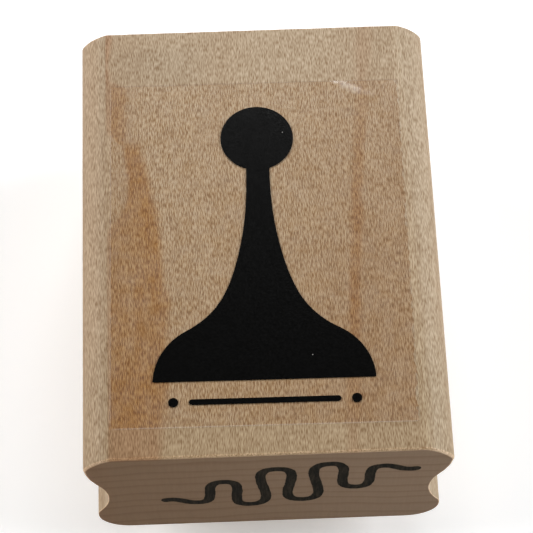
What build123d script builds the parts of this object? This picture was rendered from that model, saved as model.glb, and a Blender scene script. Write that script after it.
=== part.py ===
from build123d import *
import math
import os

# A wood-mounted rubber stamp. Millimetres. The stamp rests on its printing face at Z = 0.
# X runs across the finger grooves, Y runs along the wood grain towards the pawn's head, Z is up.

# Maple block: nominal 1 1/2 x 2 in, cut from a 3/4 in board
BLOCK_WIDTH = 38.1
BLOCK_LENGTH = 50.8
BLOCK_HEIGHT = 19.05

# Routed profile of the block's long sides, heights counted from the block's underside
FOOT_HALF_WIDTH = 18.25
FOOT_RADIUS = 3.5
LIP_HEIGHT = 3.9
LIP_RADIUS = 1.9
LIP_TURN = 31.9
GROOVE_RADIUS = 7.0
SWELL_RADIUS = 9.57
CORNER_HEIGHT = 16.25
SHOULDER_RADIUS = 5.5
TOP_FLAT_HALF_WIDTH = 16.1
CORNER_RADIUS = 1.0
CREASE_RADIUS = 0.4
FRONT_EASE = 0.35
BACK_EASE = 0.15

# Printed index label on the top face
LABEL_WIDTH = 31.6
LABEL_LENGTH = 40.64
LABEL_CORNER_RADIUS = 0.25
LABEL_CENTRE = (-0.12, -1.85)
LABEL_TILT = -0.45
LABEL_ADHESIVE_THICKNESS = 0.03
LABEL_FILM_THICKNESS = 0.06
INK_THICKNESS = 0.015

# Pawn image, shared by the label's print and the rubber relief
BALL_CENTRE_Y = 11.45
BALL_RADIUS = 3.93
NECK_HALF_WIDTH = 1.25
NECK_TOP_Y = 8.6
FLARE_POINTS = [(1.3, 5.2), (1.6, 1.3), (2.3, -2.5), (3.47, -6.3), (5.11, -9.1)]
SHOULDER_POINT = (8.0, -11.4)
HAUNCH_POINT = (10.45, -13.69)
BASE_POINT = (11.5, -16.95)
BASE_Y = -17.1
BASE_CORNER_RADIUS = 0.15
FLARE_STEPS = 10

# Plain printed rule with two end dots, under the pawn
RULE_CENTRE_Y = -19.4
RULE_LENGTH = 15.6
RULE_WIDTH = 0.62
RULE_DOT_RADIUS = 0.52
RULE_DOT_X = 9.4

# Marker scribble on the front end grain: a wave that swells and dies away
SCRIBBLE_START = (-10.3, 7.4)
SCRIBBLE_END = (14.6, 14.0)
SCRIBBLE_SWINGS = 9
SCRIBBLE_REACH = 4.8
SCRIBBLE_TURN = 0.55
SCRIBBLE_LINE_WIDTH = 1.1

# Cushion and rubber die, cut to one contour round the pawn
CUT_MARGIN = 2.0
CUT_NECK_RADIUS = 2.5
TAPE_THICKNESS = 0.1
FOAM_THICKNESS = 3.175
DIE_FLOOR_THICKNESS = 1.3
RELIEF_HEIGHT = 1.1
RELIEF_DRAFT = 12.0

# Heights of the stack, from the printing face up
DIE_FLOOR_Z = RELIEF_HEIGHT
LOWER_TAPE_Z = DIE_FLOOR_Z + DIE_FLOOR_THICKNESS
FOAM_Z = LOWER_TAPE_Z + TAPE_THICKNESS
UPPER_TAPE_Z = FOAM_Z + FOAM_THICKNESS
BLOCK_Z = UPPER_TAPE_Z + TAPE_THICKNESS
BLOCK_TOP_Z = BLOCK_Z + BLOCK_HEIGHT
LABEL_FILM_Z = BLOCK_TOP_Z + LABEL_ADHESIVE_THICKNESS
INK_Z = LABEL_FILM_Z + LABEL_FILM_THICKNESS


def on_circle(centre, radius, degrees):
    """The point of a circle at an angle counted from its right-hand side."""
    angle = math.radians(degrees)
    return (centre[0] + radius * math.cos(angle), centre[1] + radius * math.sin(angle))


def arc(centre, radius, start, end):
    """An arc of a circle between two angles."""
    ends = [on_circle(centre, radius, a) for a in (start, (start + end) / 2, end)]
    return ThreePointArc(*ends)


def side_profile():
    """Edges of the block's right-hand side, from the underside up to the flat top."""
    foot_centre = (FOOT_HALF_WIDTH - FOOT_RADIUS, FOOT_RADIUS)
    lip_centre = (FOOT_HALF_WIDTH - LIP_RADIUS, LIP_HEIGHT)
    groove_centre = on_circle(lip_centre, LIP_RADIUS + GROOVE_RADIUS, LIP_TURN)
    swell_x = BLOCK_WIDTH / 2 - SWELL_RADIUS
    reach = GROOVE_RADIUS + SWELL_RADIUS
    rise = math.sqrt(reach**2 - (groove_centre[0] - swell_x) ** 2)
    swell_centre = (swell_x, groove_centre[1] + rise)
    groove_turn = math.degrees(math.asin(rise / reach))
    corner_turn = math.degrees(math.asin((CORNER_HEIGHT - swell_centre[1]) / SWELL_RADIUS))
    foot = arc(foot_centre, FOOT_RADIUS, -90, 0)
    lip = arc(lip_centre, LIP_RADIUS, 0, LIP_TURN)
    groove = arc(groove_centre, GROOVE_RADIUS, 180 + LIP_TURN, 180 - groove_turn)
    swell = arc(swell_centre, SWELL_RADIUS, -groove_turn, corner_turn)
    shoulder = RadiusArc(swell @ 1, (TOP_FLAT_HALF_WIDTH, BLOCK_HEIGHT), -SHOULDER_RADIUS)
    return [foot, Line(foot @ 1, lip @ 0), lip, groove, swell, shoulder]


def wood_block():
    """The routed maple block, grain along Y."""
    right = side_profile()
    left = [mirror(edge, about=Plane.YZ) for edge in right]
    underside = Line(left[0] @ 0, right[0] @ 0)
    top = Line(right[-1] @ 1, left[-1] @ 1)
    outline = make_face(right + left + [underside, top])
    creases = [v for v in outline.vertices() if v.Y > BLOCK_HEIGHT - 0.01]
    outline = fillet(creases, CREASE_RADIUS)
    corners = [v for v in outline.vertices() if abs(v.Y - CORNER_HEIGHT) < 0.01]
    outline = fillet(corners, CORNER_RADIUS)
    block = extrude(Plane.XZ * outline, BLOCK_LENGTH / 2, both=True)
    front = block.faces().sort_by(Axis.Y)[0]
    block = fillet(front.edges(), FRONT_EASE)
    back = block.faces().sort_by(Axis.Y)[-1]
    block = fillet(back.edges(), BACK_EASE)
    return Pos(0, 0, BLOCK_Z) * block


def grown(curve, margin, steps):
    """Points of a curve that runs down the pawn's right side, moved outwards by a margin."""
    places = [step / steps for step in range(steps + 1)]
    outwards = [Vector(-(curve % t).Y, (curve % t).X) for t in places]
    return [(curve @ t) + out * margin for t, out in zip(places, outwards)]


def pawn_outline(margin=0.0):
    """The pawn's face, grown by a margin: a ball on a flaring neck with rounded haunches."""
    haunch = ThreePointArc(SHOULDER_POINT, HAUNCH_POINT, BASE_POINT)
    flare_points = [(NECK_HALF_WIDTH, NECK_TOP_Y), *FLARE_POINTS, SHOULDER_POINT]
    flare = Spline(*flare_points, tangents=[(0, -1), haunch % 0])
    flare = Spline(*grown(flare, margin, FLARE_STEPS))
    haunch = ThreePointArc(*grown(haunch, margin, 2))
    sole_end = (BASE_POINT[0] - BASE_CORNER_RADIUS, BASE_Y - margin)
    corner = RadiusArc(haunch @ 1, sole_end, BASE_CORNER_RADIUS + margin)
    right = [flare, haunch, corner]
    left = [mirror(edge, about=Plane.YZ) for edge in right]
    base = Line(left[-1] @ 1, right[-1] @ 1)
    top = Line(left[0] @ 0, right[0] @ 0)
    body = make_face(right + left + [base, top])
    return body + Pos(0, BALL_CENTRE_Y) * Circle(BALL_RADIUS + margin)


def layer(outline, bottom, thickness):
    """A flat sheet of the given outline."""
    return extrude(Pos(0, 0, bottom) * outline, thickness)


def label_outline():
    """The label's sheet, stuck on a little askew."""
    sheet = RectangleRounded(LABEL_WIDTH, LABEL_LENGTH, LABEL_CORNER_RADIUS)
    return Pos(*LABEL_CENTRE) * Rot(0, 0, LABEL_TILT) * sheet


def printed(outline):
    """Part of the label's print, which is as askew as its sheet."""
    return Rot(0, 0, LABEL_TILT) * outline


def rule_outlines():
    """A bar between two dots."""
    bar = Pos(0, RULE_CENTRE_Y) * SlotOverall(RULE_LENGTH, RULE_WIDTH)
    dot = Circle(RULE_DOT_RADIUS)
    return [bar] + [Pos(x, RULE_CENTRE_Y) * dot for x in (-RULE_DOT_X, RULE_DOT_X)]


def rule_ink():
    """The printed rule, as separate marks of one thickness."""
    return Compound([layer(printed(mark), INK_Z, INK_THICKNESS).solid() for mark in rule_outlines()])


def scribble_outline():
    """One marker stroke on the front end face, drawn as a wave that swells and dies away."""
    run = SCRIBBLE_END[0] - SCRIBBLE_START[0]
    climb = SCRIBBLE_END[1] - SCRIBBLE_START[1]
    points = []
    for swing in range(SCRIBBLE_SWINGS + 1):
        along = swing / SCRIBBLE_SWINGS
        reach = SCRIBBLE_REACH * math.sin(math.pi * along) * (-1) ** swing
        x = SCRIBBLE_START[0] + run * along
        z = SCRIBBLE_START[1] + climb * along + reach
        points += [(x - SCRIBBLE_TURN, z), (x + SCRIBBLE_TURN, z)]
    tip = Circle(SCRIBBLE_LINE_WIDTH / 2)
    stroke = trace(Spline(*points), SCRIBBLE_LINE_WIDTH)
    return stroke + Pos(*points[0]) * tip + Pos(*points[-1]) * tip


def marker_scribble():
    """The dry marker ink on the block's front end."""
    front = Plane((0, -BLOCK_LENGTH / 2, BLOCK_Z), x_dir=(1, 0, 0), z_dir=(0, -1, 0))
    return extrude(front * scribble_outline(), INK_THICKNESS)


def cut_outline():
    """The contour to which the cushion and the die's floor are cut."""
    contour = pawn_outline(CUT_MARGIN)
    collar = [v for v in contour.vertices() if 0 < v.Y < BALL_CENTRE_Y]
    return fillet(collar, CUT_NECK_RADIUS)


def rubber_die():
    """The moulded rubber: a thin floor and the raised pawn, wider at its foot."""
    floor = layer(cut_outline(), DIE_FLOOR_Z, DIE_FLOOR_THICKNESS)
    spread = RELIEF_HEIGHT * math.tan(math.radians(RELIEF_DRAFT))
    foot = Pos(0, 0, RELIEF_HEIGHT) * pawn_outline(spread)
    relief = loft([pawn_outline().face(), foot.face()])
    return floor + relief


PARTS = {
    "wood_block": wood_block(),
    "label_adhesive": layer(label_outline(), BLOCK_TOP_Z, LABEL_ADHESIVE_THICKNESS),
    "label_film": layer(label_outline(), LABEL_FILM_Z, LABEL_FILM_THICKNESS),
    "label_ink_pawn": layer(printed(pawn_outline()), INK_Z, INK_THICKNESS),
    "label_ink_rule": rule_ink(),
    "marker_scribble": marker_scribble(),
    "cushion_tape_upper": layer(cut_outline(), UPPER_TAPE_Z, TAPE_THICKNESS),
    "foam_cushion": layer(cut_outline(), FOAM_Z, FOAM_THICKNESS),
    "cushion_tape_lower": layer(cut_outline(), LOWER_TAPE_Z, TAPE_THICKNESS),
    "rubber_die": rubber_die(),
}

os.makedirs("parts", exist_ok=True)
for name, shape in PARTS.items():
    export_step(shape, f"parts/{name}.step")
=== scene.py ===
"""The looks of a wood-mounted rubber stamp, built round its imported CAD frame.

Metres. Z is up, +Y runs along the grain towards the pawn's head.
"""

import math

import bmesh
import bpy
import numpy as np
from mathutils import Matrix, Vector, noise


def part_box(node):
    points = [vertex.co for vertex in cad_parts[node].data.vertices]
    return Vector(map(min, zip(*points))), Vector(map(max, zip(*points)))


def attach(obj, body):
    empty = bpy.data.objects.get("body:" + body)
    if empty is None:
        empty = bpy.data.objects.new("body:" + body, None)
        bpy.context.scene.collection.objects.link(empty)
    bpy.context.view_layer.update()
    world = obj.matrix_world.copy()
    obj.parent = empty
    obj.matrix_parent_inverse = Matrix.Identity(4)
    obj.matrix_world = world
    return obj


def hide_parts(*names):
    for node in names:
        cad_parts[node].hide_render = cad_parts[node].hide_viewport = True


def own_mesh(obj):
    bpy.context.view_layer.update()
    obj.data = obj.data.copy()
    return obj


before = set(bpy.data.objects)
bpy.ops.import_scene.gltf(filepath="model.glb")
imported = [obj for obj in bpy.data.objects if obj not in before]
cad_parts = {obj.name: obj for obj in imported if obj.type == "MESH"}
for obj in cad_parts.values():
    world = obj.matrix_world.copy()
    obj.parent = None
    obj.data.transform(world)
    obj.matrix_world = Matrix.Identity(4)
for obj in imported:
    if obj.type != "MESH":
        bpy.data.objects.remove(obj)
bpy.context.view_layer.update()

MM = 0.001
X, Y, Z = 0, 1, 2

# Maple block
PROFILE_POINTS = 600
PROFILE_SOFTENING = 2
ROW_STEP = 0.42 * MM
FRONT_EASE = 0.34 * MM
BACK_EASE = 0.16 * MM
FOOT_EASE = 0.1 * MM
EASE_UNEVENNESS = 0.3
EASE_ROWS = 7
CAP_RING_SCALES = (0.965, 0.985)

# Label
AIR_GAP = 0.002 * MM
LABEL_CORNER = 0.25
SHEET_STEP = 0.8
CREASE_STEP = 0.1
CREASE_MARGIN = 0.8
SMOOTHED_FROM = 0.0005
# Start, end, width and height of each crease in the film, in millimetres from the label's centre
CREASES = (
    ((8.8, 20.0), (9.5, 19.9), 0.22, 0.035),
    ((9.7, 19.7), (11.3, 18.8), 0.55, 0.05),
    ((11.7, 18.6), (13.0, 18.3), 0.45, 0.025),
)

# Marker
MARKER_POINTS = 900
MARKER_RAGGEDNESS = 0.09 * MM

# Foam
FOAM_POINTS = 520
FOAM_ROWS = 16
FOAM_BULGE = 0.16 * MM
FOAM_UNEVENNESS = 0.05 * MM

# Colours, as linear red, green and blue
MAPLE = (0.455, 0.335, 0.216)
MAPLE_DARK = (0.3, 0.192, 0.102)
MAPLE_LIGHT = (0.595, 0.465, 0.325)
END_GRAIN = (0.278, 0.18, 0.108)
LABEL_INK = (0.0005, 0.0005, 0.0004)
LABEL_INK_THIN = (0.0012, 0.0011, 0.001)
PALE_DUST = (0.3, 0.29, 0.27)
MARKER = (0.009, 0.0072, 0.0042)
MARKER_WORN = (0.036, 0.027, 0.016)
# Painted shade in the foam's cell hollows
FOAM_HOLLOW_SHADE = (0.36, 0.36, 0.35)
FOAM_WALL = (0.66, 0.66, 0.635)
TAPE = (0.74, 0.72, 0.64)
TAPE_YELLOWED = (0.6, 0.56, 0.45)
RUBBER = (0.25, 0.034, 0.022)
RUBBER_LIGHT = (0.33, 0.055, 0.036)
RUBBER_BLOOM = (0.46, 0.2, 0.16)
DRIED_INK = (0.018, 0.012, 0.014)

# Tints that the maple's colour is multiplied by
STREAK = (0.79, 0.54, 0.18)
DRY_STREAK = (0.86, 0.72, 0.63)
WETTED = (0.9, 0.76, 0.56)
WETTED_RIGHT = (0.91, 0.85, 0.78)
RING = (0.86, 0.8, 0.74)
# Painted shade: the top darker and warmer towards the front
WARM_FRONT_SHADE = (0.82, 0.75, 0.64)
# Painted shade: dry wood a little darker near the front
FRONT_SHADE = (0.955, 0.97, 0.965)
BACK_GREYNESS = (0.93, 0.93, 0.93)
# Painted shade: the sawn ends darker and browner towards the left
LEFT_END_SHADE = (0.8, 0.72, 0.6)
LEFT_SIDE_BLUSH = (1.0, 0.95, 0.91)
# Painted highlight on the eased edges of the sawn ends
EDGE_HIGHLIGHT = (1.75, 1.72, 1.78)
# Painted highlight, paler and cooler, along the right crease of the top
RIGHT_CREASE_HIGHLIGHT = (1.1, 1.13, 1.16)
# Painted shade with dust along the label's far edge
EDGE_SHADE_AND_DUST = (0.88, 0.83, 0.78)

# Camera, as the stamp lies on a table and is seen from above its front end
CAMERA_AZIMUTH = math.radians(-2.025)
CAMERA_ELEVATION = math.radians(63.27)
CAMERA_ROLL = math.radians(-0.189)
CAMERA_DISTANCE = 253.5 * MM
CAMERA_SHIFT = (0.69 * MM, 4.93 * MM)
CAMERA_LENS = 150.6

# Stage: each lamp's place, size, power and colour, in metres and watts
LAMPS = {
    "right_lamp": ((1.25, 0.1, 0.8), 1.0, 18.2, (0.97, 1.0, 1.03)),
    "left_lamp": ((-1.2, 0.32, 0.84), 1.0, 16.2, (1.0, 1.0, 1.0)),
    "back_lamp": ((0.07, 0.89, 0.71), 0.45, 5.3, (1.0, 1.0, 1.0)),
}
LAMP_AIM = (0.0, 0.0, 0.02)
FLOOR_HALF = 0.8
FLOOR_WHITENESS = 0.96
FLOOR_GLOW = 0.28
SURROUND_SEEN = 1.0
SURROUND_LIGHT = 0.015


# ---- Outlines taken from the frame ----

def section(node, axis, at):
    """The outline of a CAD node where a plane across one axis cuts it, as an ordered loop of points."""
    cut = bmesh.new()
    cut.from_mesh(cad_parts[node].data)
    bmesh.ops.remove_doubles(cut, verts=cut.verts, dist=0.0001 * MM)
    normal = Vector([float(i == axis) for i in range(3)])
    everything = cut.verts[:] + cut.edges[:] + cut.faces[:]
    found = bmesh.ops.bisect_plane(cut, geom=everything, plane_co=normal * at, plane_no=normal)
    edges = [part for part in found["geom_cut"] if isinstance(part, bmesh.types.BMEdge)]
    meeting = {}
    for edge in edges:
        for vert in edge.verts:
            meeting.setdefault(vert, []).append(edge)
    edge = edges[0]
    vert = first = edge.verts[0]
    loop = []
    while not loop or vert is not first:
        loop.append(tuple(vert.co))
        vert = edge.other_vert(vert)
        edge = next(other for other in meeting[vert] if other is not edge)
    cut.free()
    return np.delete(np.array(loop), axis, 1)


def middle_section(node, axis):
    """The outline of a CAD node half way along one axis."""
    low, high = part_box(node)
    return section(node, axis, (low[axis] + high[axis]) / 2)


def evenly(loop, count):
    """A closed loop again, as points at equal steps round it."""
    closed = np.vstack([loop, loop[:1]])
    steps = np.linalg.norm(np.diff(closed, axis=0), axis=1)
    travelled = np.concatenate([[0], np.cumsum(steps)])
    stops = np.linspace(0, travelled[-1], count, endpoint=False)
    return np.column_stack([np.interp(stops, travelled, closed[:, i]) for i in range(2)])


def softened(loop, rounds):
    """A closed loop with each point drawn towards its neighbours."""
    for _ in range(rounds):
        loop = (np.roll(loop, 1, 0) + 2 * loop + np.roll(loop, -1, 0)) / 4
    return loop


def outward(loop):
    """Unit normals of a closed loop, pointing away from its inside."""
    ahead = np.roll(loop, -1, 0) - np.roll(loop, 1, 0)
    normals = np.column_stack([ahead[:, 1], -ahead[:, 0]])
    area = np.sum(loop[:, 0] * np.roll(loop[:, 1], -1) - np.roll(loop[:, 0], -1) * loop[:, 1])
    return normals * np.sign(area) / np.linalg.norm(normals, axis=1)[:, None]


def wobble(points, per_mm, seed=0.0):
    """Smooth noise from -1 to 1 at points of two coordinates."""
    return np.array([noise.noise(Vector((a * per_mm / MM, b * per_mm / MM, seed))) for a, b in points])


class LabelSheet:
    """Where the label lies: its centre, half sizes and turn about Z, read from its CAD sheet."""

    def __init__(self):
        loop = middle_section("label_film", Z)
        sides = np.roll(loop, -1, 0) - loop
        longest = sides[np.argmax(np.linalg.norm(sides, axis=1))]
        longest = longest * np.sign(longest[1])
        self.turn = math.atan2(-longest[0], longest[1])
        cos, sin = math.cos(self.turn), math.sin(self.turn)
        self.axes = np.array([[cos, sin], [-sin, cos]])
        own = loop @ self.axes.T
        self.half = (own.max(0) - own.min(0)) / 2
        self.centre = (own.max(0) + own.min(0)) / 2 @ self.axes

    def to_frame(self, own):
        """Points in the label's own X and Y as points of the frame."""
        return self.centre + own @ self.axes


# ---- Meshes ----

def lofted(rings):
    """Vertices and faces of a closed skin through rings of equal length, with a face on each end."""
    count = len(rings[0])
    faces = [list(range(count))[::-1]]
    for row in range(len(rings) - 1):
        for i in range(count):
            j = (i + 1) % count
            faces.append([row * count + i, row * count + j, (row + 1) * count + j, (row + 1) * count + i])
    last = (len(rings) - 1) * count
    faces.append(list(range(last, last + count)))
    return np.vstack(rings), faces


def add_piece(name, vertices, faces, body, slot, material):
    """Makes a smooth-shaded mesh object that rides on a CAD body."""
    mesh = bpy.data.meshes.new(name)
    mesh.from_pydata([tuple(v) for v in vertices], [], faces)
    rebuilt = bmesh.new()
    rebuilt.from_mesh(mesh)
    bmesh.ops.recalc_face_normals(rebuilt, faces=rebuilt.faces)
    rebuilt.to_mesh(mesh)
    rebuilt.free()
    mesh.polygons.foreach_set("use_smooth", [True] * len(mesh.polygons))
    mesh.materials.append(material)
    piece = bpy.data.objects.new(name, mesh)
    bpy.context.scene.collection.objects.link(piece)
    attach(piece, body)
    return piece


def flat_ends(piece, axis, least=0.999):
    """Shades flat the faces that look straight along an axis."""
    for face in piece.data.polygons:
        if abs(face.normal[axis]) > least:
            face.use_smooth = False


def eased_end(ring, side, half_length, ease):
    """Rings of one sawn end: a flat cap, then a rounded edge out to the full profile."""
    rings = [ring(side * half_length, ease, scale) for scale in CAP_RING_SCALES]
    for turn in np.linspace(math.pi / 2, 0, EASE_ROWS):
        y = side * (half_length - ease * (1 - math.sin(turn)))
        rings.append(ring(y, ease * (1 - math.cos(turn))))
    return rings


def maple_block():
    """The block: the CAD profile swept along the grain, with edges eased by sanding, slightly uneven, at both
    ends.
    """
    low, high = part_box("wood_block")
    profile = softened(evenly(section("wood_block", Y, 0.0), PROFILE_POINTS), PROFILE_SOFTENING)
    normals = outward(profile)
    centre = np.array([(low.x + high.x) / 2, (low.z + high.z) / 2])
    unevenness = EASE_UNEVENNESS * wobble(profile, 0.9)
    height = np.clip((profile[:, 1] - low.z) / (high.z - low.z) * 2 - 0.6, 0, 1)

    def ring(y, inset, scale=1.0):
        loop = centre + (profile - normals * np.broadcast_to(inset, len(profile))[:, None] - centre) * scale
        return np.column_stack([loop[:, 0], np.broadcast_to(y, len(loop)), loop[:, 1]])

    ends = []
    for side, most in ((-1, FRONT_EASE), (1, BACK_EASE)):
        ease = (FOOT_EASE + (most - FOOT_EASE) * height) * (1 - side * unevenness)
        ends.append(eased_end(ring, side, high.y, ease))
    reach = high.y - FRONT_EASE * (1 + EASE_UNEVENNESS)
    between = [ring(y, 0.0) for y in np.arange(-reach, reach, ROW_STEP)[1:]]
    vertices, faces = lofted(ends[0] + between + ends[1][::-1])
    block = add_piece("maple_block", vertices, faces, "block", "maple", Maple().finished())
    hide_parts("wood_block")


def sheet_lines(half, fine_from, fine_to):
    """Places of a sheet's grid lines across one side: close together where the film is creased."""
    coarse = np.arange(-half, half, SHEET_STEP)
    coarse = coarse[(coarse < fine_from) | (coarse > fine_to)]
    fine = np.arange(fine_from, min(fine_to, half), CREASE_STEP)
    return np.unique(np.concatenate([coarse, fine, [half]]))


def creased_lines(half):
    """Grid lines across and along the creased film."""
    points = np.array([crease[i] for crease in CREASES for i in (0, 1)])
    first, last = points.min(0) - CREASE_MARGIN, points.max(0) + CREASE_MARGIN
    return [sheet_lines(half[i], first[i], last[i]) for i in (X, Y)]


def plain_lines(half):
    """Grid lines across and along a flat sheet."""
    return [np.linspace(-half[i], half[i], int(half[i])) for i in (X, Y)]


def crease_height(own):
    """How far the film stands off the wood, in millimetres, at points of its own X and Y in millimetres."""
    height = np.zeros(len(own))
    for start, end, width, top in CREASES:
        start, end = np.array(start), np.array(end)
        run = np.linalg.norm(end - start)
        along = (own - start) @ (end - start) / run
        across = (own - start) @ np.array([[0, -1], [1, 0]]) @ (end - start) / run
        past = np.maximum(np.maximum(-along, along - run), 0)
        height = np.maximum(height, top * np.exp(-(across**2 + past**2) / width**2))
    return height


def round_corners(own, half):
    """Points of a rectangle, with those in its corners drawn in to a radius."""
    inner = np.clip(own, LABEL_CORNER - half, half - LABEL_CORNER)
    off = own - inner
    length = np.maximum(np.linalg.norm(off, axis=1), 1e-9)[:, None]
    return inner + off * np.minimum(1, LABEL_CORNER / length)


def sheet_faces(rows, columns):
    """Faces of a closed sheet whose lower grid of points is followed by its upper grid."""
    count = rows * columns
    faces = []
    for r in range(rows - 1):
        for c in range(columns - 1):
            a = r * columns + c
            faces.append([a, a + 1, a + columns + 1, a + columns])
            faces.append([count + a, count + a + columns, count + a + columns + 1, count + a + 1])
    rim = list(range(columns - 1)) + [r * columns + columns - 1 for r in range(rows - 1)]
    rim += [count - 1 - c for c in range(columns - 1)] + [r * columns for r in range(rows - 1, 0, -1)]
    for a, b in zip(rim, rim[1:] + rim[:1]):
        faces.append([a, b, count + b, count + a])
    return faces


def label_sheet(name, node, slot, material, creased):
    """A closed, thin sheet in the place of one of the label's CAD layers."""
    low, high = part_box(node)
    half = LABEL.half / MM
    across, along = np.meshgrid(*(creased_lines(half) if creased else plain_lines(half)))
    own = round_corners(np.column_stack([across.ravel(), along.ravel()]), half)
    lift = crease_height(own) if creased else np.zeros(len(own))
    flat = LABEL.to_frame(own * MM)
    levels = [np.column_stack([flat, z + lift * MM]) for z in (low.z + AIR_GAP, high.z)]
    piece = add_piece(name, np.vstack(levels), sheet_faces(*across.shape), "block", slot, material)
    lifted = np.tile(lift, 2)
    for face in piece.data.polygons:
        face.use_smooth = bool(lifted[list(face.vertices)].max() > SMOOTHED_FROM)
    piece.data.attributes.new("lift", "FLOAT", "POINT").data.foreach_set("value", np.float32(lifted))
    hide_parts(node)


def ragged_marker():
    """The marker's ink, with an edge that has bled a little along the pores of the end grain."""
    low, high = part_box("marker_scribble")
    loop = evenly(middle_section("marker_scribble", Y), MARKER_POINTS)
    bleed = MARKER_RAGGEDNESS * (0.6 * wobble(loop, 1.1) + 0.5 * wobble(loop, 4.0, seed=3.0))
    loop = loop + outward(loop) * bleed[:, None]
    rings = [np.column_stack([loop[:, 0], np.full(len(loop), y), loop[:, 1]]) for y in (high.y, low.y)]
    piece = add_piece("marker_ink", *lofted(rings), "block", "marker_ink", marker_black())
    flat_ends(piece, Y)
    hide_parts("marker_scribble")


def foam_pad():
    """The cushion: die-cut foam whose cut side bulges a little and shows its cells."""
    low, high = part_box("foam_cushion")
    loop = evenly(middle_section("foam_cushion", Z), FOAM_POINTS)
    normals = outward(loop)
    rings = []
    for share in np.linspace(0, 1, FOAM_ROWS):
        bulge = FOAM_BULGE * (math.sin(math.pi * share) - 0.5)
        cells = FOAM_UNEVENNESS * wobble(loop, 1.9, seed=share * 6) * math.sin(math.pi * share)
        ring = loop + normals * (bulge + cells)[:, None]
        rings.append(np.column_stack([ring, np.full(len(ring), low.z + share * (high.z - low.z))]))
    piece = add_piece("foam_pad", *lofted(rings), "block", "cushion_foam", foam())
    flat_ends(piece, Z)
    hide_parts("foam_cushion")
    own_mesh(piece)


# ---- Materials ----

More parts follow.
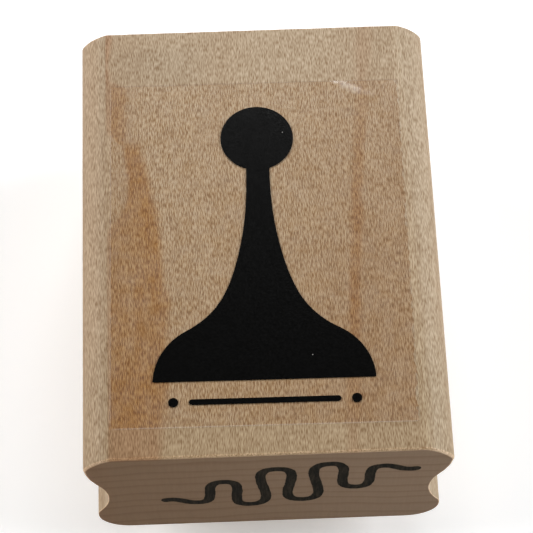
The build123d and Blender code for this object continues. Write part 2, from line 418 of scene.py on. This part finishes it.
class Shader:
    """A material's nodes. Most calls add a node and return its output; inputs are plain values or outputs."""

    def __init__(self, name):
        self.material = bpy.data.materials.new(name)
        self.material.use_nodes = True
        self.tree = self.material.node_tree
        self.tree.nodes.clear()

    def node(self, kind, inputs, output=0, **settings):
        made = self.tree.nodes.new(kind)
        for key, value in settings.items():
            setattr(made, key, value)
        for key, value in inputs.items():
            if isinstance(value, bpy.types.NodeSocket):
                self.tree.links.new(value, made.inputs[key])
            else:
                made.inputs[key].default_value = value
        return made.outputs[output] if made.outputs else made

    def place(self):
        """Where the surface is in the row frame, in millimetres."""
        point = self.node("ShaderNodeTexCoord", {}, "Object")
        return self.node("ShaderNodeVectorMath", {0: point, "Scale": 1 / MM}, operation="SCALE")

    def split(self, vector):
        parts = self.node("ShaderNodeSeparateXYZ", {0: vector}).node
        return parts.outputs[0], parts.outputs[1], parts.outputs[2]

    def join(self, x, y, z):
        return self.node("ShaderNodeCombineXYZ", {0: x, 1: y, 2: z})

    def math(self, operation, a, b=0.0, c=0.0):
        return self.node("ShaderNodeMath", {0: a, 1: b, 2: c}, operation=operation)

    def plus(self, a, b, factor=1.0):
        """The sum of a and b times a factor."""
        return self.math("MULTIPLY_ADD", b, factor, a)

    def minus(self, a, b):
        return self.math("SUBTRACT", a, b)

    def size(self, value):
        return self.math("ABSOLUTE", value)

    def remainder(self, share):
        """What a share leaves of 1."""
        return self.minus(1.0, share)

    def product(self, *values):
        result = values[0]
        for value in values[1:]:
            result = self.math("MULTIPLY", result, value)
        return result

    def highest(self, *values):
        result = values[0]
        for value in values[1:]:
            result = self.math("MAXIMUM", result, value)
        return result

    def step(self, value, low, high, start=0.0, end=1.0):
        """Goes smoothly from start to end as value goes from low to high."""
        inputs = {"Value": value, "From Min": low, "From Max": high, "To Min": start, "To Max": end}
        return self.node("ShaderNodeMapRange", inputs, interpolation_type="SMOOTHSTEP")

    def spread(self, value, low, high, start, end):
        """Goes straight from start to end as value goes from low to high, and stops there."""
        inputs = {"Value": value, "From Min": low, "From Max": high, "To Min": start, "To Max": end}
        return self.node("ShaderNodeMapRange", inputs)

    def between(self, share, start, end):
        """The value a share of the way from start to end."""
        return self.spread(share, 0.0, 1.0, start, end)

    def within(self, value, core, edge):
        """1 up to core, falling smoothly to 0 at edge."""
        return self.step(value, core, edge, 1.0, 0.0)

    def near(self, value, centre, core, edge):
        """1 where value is within core of centre, falling smoothly to 0 at edge."""
        return self.within(self.size(self.minus(value, centre)), core, edge)

    def grain(self, point, per_mm, detail=2.0, roughness=0.5, seed=0.0):
        """Noise from 0 to 1 whose features repeat about per_mm times a millimetre along X, Y and Z."""
        inputs = {0: point, 1: per_mm, 2: (seed, seed, seed)}
        scaled = self.node("ShaderNodeVectorMath", inputs, operation="MULTIPLY_ADD")
        inputs = {"Vector": scaled, "Scale": 1.0, "Detail": detail, "Roughness": roughness}
        return self.node("ShaderNodeTexNoise", inputs)

    def specks(self, point, per_mm, radius, share):
        """1 inside sparse round specks of a radius in millimetres; share of the cells hold one."""
        cells = self.node("ShaderNodeTexVoronoi", {"Vector": point, "Scale": per_mm}).node
        pick = self.split(cells.outputs["Color"])[0]
        inside = self.within(cells.outputs["Distance"], radius * per_mm * 0.7, radius * per_mm)
        return self.product(inside, self.math("LESS_THAN", pick, share))

    def attribute(self, name):
        return self.node("ShaderNodeAttribute", {}, "Fac", attribute_name=name)

    def mix(self, share, a, b, blend="MIX"):
        """Colour a turned towards colour b by a share."""
        mixed = self.node("ShaderNodeMix", {0: share}, data_type="RGBA", blend_type=blend).node
        for socket, value in ((mixed.inputs[6], a), (mixed.inputs[7], b)):
            if isinstance(value, bpy.types.NodeSocket):
                self.tree.links.new(value, socket)
            else:
                socket.default_value = (*value, 1.0)
        return mixed.outputs[2]

    def tint(self, share, colour, factor):
        """Colour times a factor, as far as share says."""
        return self.mix(share, colour, factor, "MULTIPLY")

    def grey(self, value):
        return self.node("ShaderNodeCombineColor", {0: value, 1: value, 2: value})

    def bump(self, height, distance):
        """A normal tilted by a height from 0 to 1 that stands for distance millimetres."""
        return self.node("ShaderNodeBump", {"Height": height, "Distance": distance * MM, "Strength": 1.0})

    def surface(self, **inputs):
        """A Principled surface."""
        named = {key.replace("_", " "): value for key, value in inputs.items()}
        return self.node("ShaderNodeBsdfPrincipled", named)

    def blend(self, share, a, b):
        """Surface a turned towards surface b by a share."""
        return self.node("ShaderNodeMixShader", {0: share, 1: a, 2: b})

    def finish(self, surface):
        """Ends the material in a surface and returns the material."""
        self.node("ShaderNodeOutputMaterial", {"Surface": surface})
        return self.material

    def on_label(self, x, y):
        """Where a point lies in the label's own X and Y, in millimetres from its centre."""
        cos, sin = math.cos(LABEL.turn), math.sin(LABEL.turn)
        centre_x, centre_y = LABEL.centre / MM
        from_x, from_y = self.minus(x, centre_x), self.minus(y, centre_y)
        own_x = self.plus(self.product(from_x, cos), from_y, sin)
        own_y = self.plus(self.product(from_y, cos), from_x, -sin)
        return own_x, own_y


class Maple(Shader):
    """Hard maple: wavy flecks, faint rings, orange streaks near the top, and wood wetted by the label.

    Places are in millimetres of the frame, and every mask runs from 0 to 1.
    """

    def __init__(self):
        super().__init__("maple")
        self.point = self.place()
        self.x, self.y, self.z = self.split(self.point)
        stray = self.grain(self.point, (0.5, 0.22, 0.5), detail=3.0, roughness=0.6, seed=12.0)
        self.stray = self.minus(stray, 0.5)
        depth = self.minus(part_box("wood_block")[1].z / MM, self.z)
        self.skin = self.within(depth, 0.1, 0.3)
        self.shallow = self.within(self.plus(depth, self.stray, 0.3), 0.15, 0.6)
        self.find_facing()
        self.own_x, self.own_y = self.on_label(self.x, self.y)
        self.wet = self.product(self.wetted(), self.skin)
        self.dry = self.remainder(self.wet)

    def find_facing(self):
        """Finds the sawn ends, the eased edges round them, and the routed sides with the underside."""
        _, along, rise = self.split(self.node("ShaderNodeNewGeometry", {}, "True Normal"))
        along = self.size(along)
        self.end = self.step(along, 0.86, 0.99)
        self.edge = self.product(self.step(along, 0.03, 0.5), self.within(along, 0.93, 1.0))
        self.side = self.within(rise, 0.35, 0.75)
        self.off_end = self.remainder(self.end)

    def wetted(self):
        """1 where the label's adhesive has wetted the wood, with a frayed right edge."""
        half_x, half_y = LABEL.half / MM
        fray = self.minus(self.grain(self.point, (2.0, 1.3, 2.0), detail=1.0, seed=84.0), 0.5)
        frayed = self.plus(self.plus(self.own_x, self.stray, 0.5), fray, 0.9)
        right = self.within(frayed, half_x - 0.14, half_x - 0.04)
        sides = self.within(self.size(self.own_x), half_x, half_x + 0.08)
        ends = self.within(self.size(self.own_y), half_y - 0.1, half_y)
        return self.product(right, sides, ends)

    def long_fibres(self):
        """Shade of the faces along the grain: short wavy dashes, fainter and longer on the sides."""
        drift = self.grain(self.point, (0.14, 0.07, 0.14), detail=1.0, seed=4.0)
        wavy = self.join(self.plus(self.x, drift, 1.5), self.y, self.z)
        dashes = self.grain(wavy, (12.0, 1.8, 12.0), detail=0.0)
        threads = self.grain(wavy, (13.0, 0.6, 13.0), detail=0.0, seed=9.0)
        clouds = self.grain(wavy, (0.8, 0.2, 0.8), detail=2.0, seed=21.0)
        shade = self.plus(self.plus(dashes, clouds, 0.1), threads, 0.5)
        shade = self.spread(shade, 0.54, 1.06, 0.0, 1.0)
        lines = self.grain(wavy, (3.0, 0.12, 3.0), detail=3.0, roughness=0.65, seed=40.0)
        side_shade = self.plus(self.spread(lines, 0.3, 0.7, 0.05, 0.55), shade, 0.42)
        return self.between(self.side, shade, side_shade)

    def end_fibres(self):
        """Shade of the sawn ends, where the fibres are seen end on as fine rays and pores."""
        rays = self.grain(self.point, (3.5, 3.5, 0.3), detail=1.0, seed=30.0)
        pores = self.grain(self.point, (7.0, 7.0, 7.0), detail=0.0, seed=33.0)
        return self.plus(self.plus(0.25, pores, 0.2), rays, 0.3)

    def ring_lines(self):
        """Thin growth rings, nearly level, a little wavy and unevenly spaced."""
        sway = self.grain(self.point, (0.1, 0.012, 0.1), detail=2.0, seed=50.0)
        bow = self.product(self.x, self.x, 0.0018)
        height = self.plus(self.plus(self.z, sway, 2.2), bow)
        unevenness = self.product(self.math("SINE", self.product(height, 0.9)), 0.16)
        phase = self.math("FRACT", self.plus(unevenness, height, 0.53))
        return self.product(self.step(phase, 0.55, 0.93), self.within(phase, 0.93, 0.99))

    def upper_streak(self, strayed, raised):
        """A short orange patch by the left side, with a thin line above it."""
        right = self.step(self.y, 18.0, 19.6, -13.9, -15.5)
        foot = self.plus(-2.2, strayed, -0.95)
        return self.product(
            self.within(self.minus(strayed, right), -0.5, 0.35),
            self.step(self.minus(raised, foot), -0.4, 0.4),
            self.step(self.y, TOP_Y - 7.0, TOP_Y - 5.0, 0.75, 1.35),
        )

    def main_streak(self, strayed, raised):
        """A long orange streak by the left side, narrow at its far end and paler half way."""
        from_waist = self.plus(self.y, 11.0)
        right = self.plus(-9.8, self.product(from_waist, from_waist), -0.0056)
        left = self.step(raised, -1.5, 4.0, -17.5, -14.1)
        pale = self.product(self.near(self.y, -2.0, 3.0, 8.5), self.within(strayed, -13.6, -12.4))
        return self.product(
            self.within(self.minus(strayed, right), -0.8, 0.5),
            self.step(self.minus(strayed, left), -0.45, 0.45),
            self.within(raised, 10.4, 12.8),
            self.between(pale, 1.0, 0.62),
            self.step(self.y, -2.0, 4.0, 1.0, 1.15),
            self.between(self.near(self.y, -12.0, 2.0, 6.0), 1.0, 0.84),
        )

    def right_streak(self):
        """A thin fainter streak that leans across the right side."""
        line = self.plus(self.plus(10.3, self.product(self.y, self.y), 0.0004), self.y, 0.08)
        away = self.size(self.minus(self.plus(self.x, self.stray, 1.1), line))
        wide = self.step(self.y, 16.0, 22.0, 1.0, 1.5)
        faded = self.step(self.size(self.plus(self.y, 1.0)), 7.0, 18.0, 0.7, 0.4)
        return self.product(self.within(self.math("DIVIDE", away, wide), 0.2, 0.95), faded)

    def streaks(self):
        """The heartwood's orange streaks: all of them, with threads along the grain."""
        strayed = self.plus(self.x, self.stray, 2.0)
        raised = self.plus(self.y, self.stray, 3.0)
        left = self.highest(self.upper_streak(strayed, raised), self.main_streak(strayed, raised))
        left = self.product(left, self.step(self.x, -16.35, -16.1))
        threads = self.grain(self.point, (1.1, 0.1, 1.1), detail=3.0, roughness=0.6, seed=70.0)
        threaded = self.spread(threads, 0.35, 0.65, 0.8, 1.1)
        return self.product(self.highest(left, self.right_streak()), self.shallow, threaded)

    def edge_shade_and_dust(self):
        """Painted shade along the label's far edge, with dust that the adhesive has caught there, more of it
        in some stretches.
        """
        half_x, half_y = LABEL.half / MM
        line = self.near(self.own_y, half_y, 0.04, 0.16)
        across = self.within(self.size(self.own_x), half_x, half_x + 0.1)
        stretches = self.grain(self.point, (0.5, 0.5, 0.5), detail=2.0, seed=80.0)
        return self.product(line, across, self.spread(stretches, 0.35, 0.6, 0.35, 1.0), self.skin)

    def bare(self, shade):
        """Colour of fresh wood of a shade."""
        colour = self.mix(self.step(shade, 0.0, 0.5), MAPLE_DARK, MAPLE)
        colour = self.mix(self.spread(shade, 0.5, 1.0, 0.0, 1.0), colour, MAPLE_LIGHT)
        end_colour = self.tint(1.0, END_GRAIN, self.grey(self.between(shade, 0.8, 1.2)))
        return self.mix(self.end, colour, end_colour)

    def slow_changes(self, colour):
        """Colour that drifts slowly from one part of the block to another, with painted shade towards the
        front and on the left of the sawn ends.
        """
        # Painted shade: the top grows darker and warmer towards the front
        forward = self.plus(self.plus(self.y, self.x, 0.3), self.stray, 10.0)
        warm_front_shade = self.spread(forward, -28.0, 24.0, 1.0, 0.0)
        on_top = self.between(self.shallow, 0.3, 1.0)
        colour = self.tint(self.product(warm_front_shade, on_top, self.off_end), colour, WARM_FRONT_SHADE)
        front = self.spread(self.y, -8.0, 14.0, 1.0, 0.4)
        colour = self.tint(self.product(self.step(self.x, -8.0, 15.0), front, self.wet), colour, WETTED_RIGHT)
        # Painted shade: the sawn ends darker and browner towards the left
        left_end_shade = self.within(self.plus(self.x, self.stray, 6.0), -20.0, 14.0)
        colour = self.tint(self.product(left_end_shade, self.end), colour, LEFT_END_SHADE)
        # Painted shade on dry wood near the front of the block
        front_shade = self.product(self.within(self.y, -19.0, -9.0), self.off_end, self.dry)
        colour = self.tint(front_shade, colour, FRONT_SHADE)
        blush = self.product(self.within(self.x, -18.0, -15.5), self.remainder(self.shallow))
        colour = self.tint(blush, colour, LEFT_SIDE_BLUSH)
        patch = self.product(self.near(self.y, 21.0, 1.2, 3.4), self.near(self.x, -10.5, 2.5, 7.0))
        return self.tint(self.product(patch, self.skin), colour, BACK_GREYNESS)

    def edges(self, colour):
        """Growth rings, a painted highlight on the eased edges of the ends, and a painted highlight along the
        right crease.
        """
        colour = self.tint(self.product(self.ring_lines(), self.between(self.end, 0.6, 0.9)), colour, RING)
        # Painted highlight on the eased edges, full at the front end, a quarter of it at the back
        edge_highlight = self.product(self.edge, self.step(self.y, -1.0, 1.0, 1.0, 0.25))
        colour = self.tint(edge_highlight, colour, EDGE_HIGHLIGHT)
        # Painted highlight along the right crease, on dry wood near the top
        crease = self.product(self.near(self.x, 16.05, 0.3, 0.65), self.dry, self.skin)
        return self.tint(crease, colour, RIGHT_CREASE_HIGHLIGHT)

    def stains(self, colour, shade):
        """Streaks, wood wetted by the label, and painted shade with dust at its far edge. Pale fibres soak up
        less.
        """
        streaks = self.streaks()
        soaking = self.spread(shade, 0.3, 0.7, 1.0, 0.8)
        colour = self.tint(self.product(streaks, self.wet, soaking), colour, STREAK)
        colour = self.tint(self.product(streaks, self.dry), colour, DRY_STREAK)
        colour = self.tint(self.product(self.wet, self.spread(shade, 0.2, 0.8, 1.0, 0.45)), colour, WETTED)
        # Painted shade with dust along the label's far edge
        return self.tint(self.edge_shade_and_dust(), colour, EDGE_SHADE_AND_DUST)

    def finished(self):
        """The finished material."""
        shade = self.between(self.end, self.long_fibres(), self.end_fibres())
        shade = self.plus(0.5, self.minus(shade, 0.5), self.between(self.wet, 1.0, 1.15))
        colour = self.stains(self.edges(self.slow_changes(self.bare(shade))), shade)
        fibres = self.grain(self.point, (9.0, 0.6, 9.0), detail=2.0, seed=60.0)
        return self.finish(self.surface(
            Base_Color=colour,
            Roughness=self.between(shade, 0.7, 0.55),
            Normal=self.bump(fibres, 0.015),
            Specular_IOR_Level=self.between(self.end, 0.35, 0.1),
        ))


def top_and_rim(s):
    """1 on a sheet's upper face as seen from outside, and 1 on its cut edge."""
    rise = s.split(s.node("ShaderNodeNewGeometry", {}, "True Normal"))[2]
    return s.step(rise, 0.4, 0.7), s.within(s.size(rise), 0.3, 0.6)


def film_edge_highlight(s, place):
    """1 along the film's left and front edges, where a painted highlight lies."""
    x, y, _ = s.split(place)
    own_x, own_y = s.on_label(x, y)
    half_x, half_y = LABEL.half / MM
    left = s.within(own_x, 0.06 - half_x, 0.14 - half_x)
    front = s.within(own_y, 0.06 - half_y, 0.14 - half_y)
    return s.highest(left, front)


def clear_film():
    """Clear satin film: it mirrors a little, more at a slant, turns milky where it has lifted, and has a
    painted highlight along its left and front edges.
    """
    s = Shader("clear_film")
    place = s.place()
    lift = s.step(s.attribute("lift"), 0.01, 0.1)
    scuffs = s.grain(place, (0.8, 5.0, 1.0), detail=3.0, seed=7.0)
    normal = s.bump(scuffs, 0.004)
    roughness = s.plus(s.spread(scuffs, 0.3, 0.7, 0.18, 0.26), lift, 0.45)
    gloss = s.node("ShaderNodeBsdfGlossy", {"Roughness": roughness, "Normal": normal})
    slant = s.node("ShaderNodeLayerWeight", {"Blend": 0.5, "Normal": normal}, "Facing")
    shine = s.plus(0.04, s.math("POWER", slant, 5.0), 0.6)
    top, rim = top_and_rim(s)
    sheet = s.blend(s.product(shine, top), s.node("ShaderNodeBsdfTransparent", {}), gloss)
    patches = s.spread(s.grain(place, (2.5, 2.5, 2.5), detail=2.0, seed=5.0), 0.35, 0.6, 0.15, 1.0)
    wrinkle = s.product(lift, patches, top, 0.18)
    # Milk where the film has lifted and on its cut edge, and a painted highlight along its left and front
    # edges
    milky = s.highest(wrinkle, s.product(rim, 0.16), s.product(film_edge_highlight(s, place), top, 0.07))
    milk = s.surface(Base_Color=(0.85, 0.84, 0.8, 1.0), Roughness=0.3)
    return s.finish(s.blend(milky, sheet, milk))


def clear_adhesive():
    """Clear adhesive, with a trace of haze and dust along it."""
    s = Shader("clear_adhesive")
    haze = s.spread(s.grain(s.place(), (0.7, 0.7, 0.7), detail=3.0, seed=2.0), 0.35, 0.75, 0.0, 0.03)
    haze = s.product(haze, top_and_rim(s)[0])
    milk = s.surface(Base_Color=(0.8, 0.77, 0.7, 1.0), Roughness=0.45)
    return s.finish(s.blend(haze, s.node("ShaderNodeBsdfTransparent", {}), milk))


def label_black():
    """Black printing ink under a satin skin, with a few specks of pale dust."""
    s = Shader("label_black")
    place = s.place()
    tone = s.grain(place, (6.0, 6.0, 6.0), detail=2.0)
    colour = s.mix(s.specks(place, 0.42, 0.07, 0.35), s.mix(tone, LABEL_INK, LABEL_INK_THIN), PALE_DUST)
    normal = s.bump(s.grain(place, (1.5, 6.0, 1.5), detail=3.0, seed=7.0), 0.003)
    roughness = s.spread(tone, 0.3, 0.7, 0.17, 0.22)
    return s.finish(s.surface(Base_Color=colour, Roughness=roughness, Normal=normal))


def marker_black():
    """Dry marker on end grain: streaked along the stroke's pores, a little worn."""
    s = Shader("marker_black")
    place = s.place()
    rays = s.grain(place, (4.5, 4.5, 0.5), detail=2.0, seed=30.0)
    pores = s.grain(place, (9.0, 9.0, 9.0), detail=1.0, seed=33.0)
    worn = s.plus(s.product(pores, 0.4), rays, 0.6)
    colour = s.mix(s.step(worn, 0.42, 0.68), MARKER, MARKER_WORN)
    normal = s.bump(pores, 0.02)
    return s.finish(s.surface(Base_Color=colour, Roughness=0.85, Normal=normal, Specular_IOR_Level=0.06))


def foam():
    """Pale grey closed-cell foam: small cells with painted shade in their hollows and thin pale walls."""
    s = Shader("cushion_foam")
    place = s.place()
    cells = s.node("ShaderNodeTexVoronoi", {"Vector": place, "Scale": 3.6}, "Distance")
    small = s.node("ShaderNodeTexVoronoi", {"Vector": place, "Scale": 8.0}, "Distance")
    hollow = s.plus(s.product(cells, 0.6), small, 0.4)
    mottle = s.grain(place, (0.4, 0.4, 0.4), detail=2.0)
    # Painted shade in the cell hollows, pale walls between them
    colour = s.mix(s.step(hollow, 0.05, 0.45), FOAM_HOLLOW_SHADE, FOAM_WALL)
    colour = s.tint(s.spread(mottle, 0.3, 0.7, 0.0, 1.0), colour, (0.9, 0.89, 0.86))
    return s.finish(s.surface(Base_Color=colour, Roughness=0.9, Normal=s.bump(hollow, 0.09)))


def tape():
    """Off-white double-sided tape, its cut edge a little yellowed and picking up lint."""
    s = Shader("cushion_tape")
    place = s.place()
    mottle = s.grain(place, (0.9, 0.9, 3.0), detail=3.0)
    lint = s.grain(place, (5.0, 5.0, 5.0), detail=1.0, seed=8.0)
    colour = s.mix(s.step(mottle, 0.35, 0.7), TAPE, TAPE_YELLOWED)
    colour = s.tint(s.step(lint, 0.6, 0.75), colour, (0.65, 0.63, 0.6))
    roughness = s.spread(mottle, 0.3, 0.7, 0.35, 0.55)
    return s.finish(s.surface(Base_Color=colour, Roughness=roughness, Normal=s.bump(mottle, 0.02)))


def die_rubber():
    """Deep red moulded rubber: a fine matt skin, a bloom of chalk, and black ink left on the print."""
    s = Shader("die_rubber")
    place = s.place()
    skin = s.grain(place, (7.0, 7.0, 7.0), detail=3.0, roughness=0.6)
    bloom = s.grain(place, (0.35, 0.35, 0.8), detail=4.0, roughness=0.6, seed=17.0)
    colour = s.mix(skin, RUBBER, RUBBER_LIGHT)
    colour = s.mix(s.spread(bloom, 0.45, 0.75, 0.0, 0.35), colour, RUBBER_BLOOM)
    uneven = s.plus(s.split(place)[2], s.grain(place, (1.4, 1.4, 1.4), detail=4.0, seed=23.0), 0.5)
    colour = s.mix(s.product(s.within(uneven, 0.28, 0.5), 0.85), colour, DRIED_INK)
    normal = s.bump(skin, 0.02)
    roughness = s.spread(skin, 0.2, 0.8, 0.5, 0.68)
    return s.finish(s.surface(Base_Color=colour, Roughness=roughness, Normal=normal, Specular_IOR_Level=0.4))


def dress(material, *nodes):
    """Gives CAD nodes their material."""
    for node in nodes:
        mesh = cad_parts[node].data
        mesh.materials.clear()
        mesh.materials.append(material)


# ---- Stage ----

def add_camera():
    """The camera, tilted and rolled as it looked at the stamp."""
    turn, tilt = CAMERA_AZIMUTH, CAMERA_ELEVATION
    forward = Vector((-math.sin(turn) * math.cos(tilt), math.cos(turn) * math.cos(tilt), -math.sin(tilt)))
    level = Vector((math.cos(turn), math.sin(turn), 0))
    rise = level.cross(forward)
    right = math.cos(CAMERA_ROLL) * level + math.sin(CAMERA_ROLL) * rise
    up = math.cos(CAMERA_ROLL) * rise - math.sin(CAMERA_ROLL) * level
    block_foot = Vector((0, 0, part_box("wood_block")[0].z))
    data = bpy.data.cameras.new("camera")
    data.lens = CAMERA_LENS
    data.clip_start = 10 * MM
    camera = bpy.data.objects.new("camera", data)
    pose = Matrix((right, up, -forward)).transposed().to_4x4()
    aim = block_foot + right * CAMERA_SHIFT[0] + up * CAMERA_SHIFT[1]
    pose.translation = aim - forward * CAMERA_DISTANCE
    camera.matrix_world = pose
    bpy.context.scene.collection.objects.link(camera)
    bpy.context.scene.camera = camera


def add_lamp(name, place, size, power, colour):
    """A square soft light that looks at the stamp."""
    data = bpy.data.lights.new(name, "AREA")
    data.color = colour
    data.size = size
    data.energy = power
    lamp = bpy.data.objects.new(name, data)
    lamp.location = place
    lamp.rotation_euler = (Vector(LAMP_AIM) - Vector(place)).to_track_quat("-Z", "Y").to_euler()
    bpy.context.scene.collection.objects.link(lamp)


def add_floor():
    """A plain pale floor that gives off a little light."""
    s = Shader("pale_floor")
    white = (FLOOR_WHITENESS, FLOOR_WHITENESS, FLOOR_WHITENESS, 1.0)
    glow = {"Emission_Color": (1.0, 1.0, 1.0, 1.0), "Emission_Strength": FLOOR_GLOW}
    material = s.finish(s.surface(Base_Color=white, Roughness=0.8, **glow))
    corners = [(x * FLOOR_HALF, y * FLOOR_HALF, 0) for x, y in ((-1, -1), (1, -1), (1, 1), (-1, 1))]
    mesh = bpy.data.meshes.new("floor")
    mesh.from_pydata(corners, [], [(0, 1, 2, 3)])
    mesh.materials.append(material)
    floor = bpy.data.objects.new("floor", mesh)
    bpy.context.scene.collection.objects.link(floor)


def add_surround():
    """A surround that looks pale to the camera and lights the stamp only dimly."""
    world = bpy.data.worlds.new("surround")
    world.use_nodes = True
    tree = world.node_tree
    seen = tree.nodes.new("ShaderNodeLightPath").outputs["Is Camera Ray"]
    strength = tree.nodes.new("ShaderNodeMapRange")
    strength.inputs["To Min"].default_value = SURROUND_LIGHT
    strength.inputs["To Max"].default_value = SURROUND_SEEN
    tree.links.new(seen, strength.inputs["Value"])
    background = tree.nodes["Background"]
    background.inputs["Color"].default_value = (1.0, 1.0, 1.0, 1.0)
    tree.links.new(strength.outputs["Result"], background.inputs["Strength"])
    bpy.context.scene.world = world
    bpy.context.scene.view_settings.view_transform = "Standard"


LABEL = LabelSheet()
TOP_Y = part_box("wood_block")[1].y / MM

maple_block()
label_sheet("adhesive_sheet", "label_adhesive", "clear_adhesive", clear_adhesive(), creased=False)
label_sheet("film_sheet", "label_film", "clear_film", clear_film(), creased=True)
ragged_marker()
foam_pad()
dress(label_black(), "label_ink_pawn", "label_ink_rule")
dress(tape(), "cushion_tape_upper", "cushion_tape_lower")
dress(die_rubber(), "rubber_die")
add_camera()
add_floor()
for lamp_name, settings in LAMPS.items():
    add_lamp(lamp_name, *settings)
add_surround()
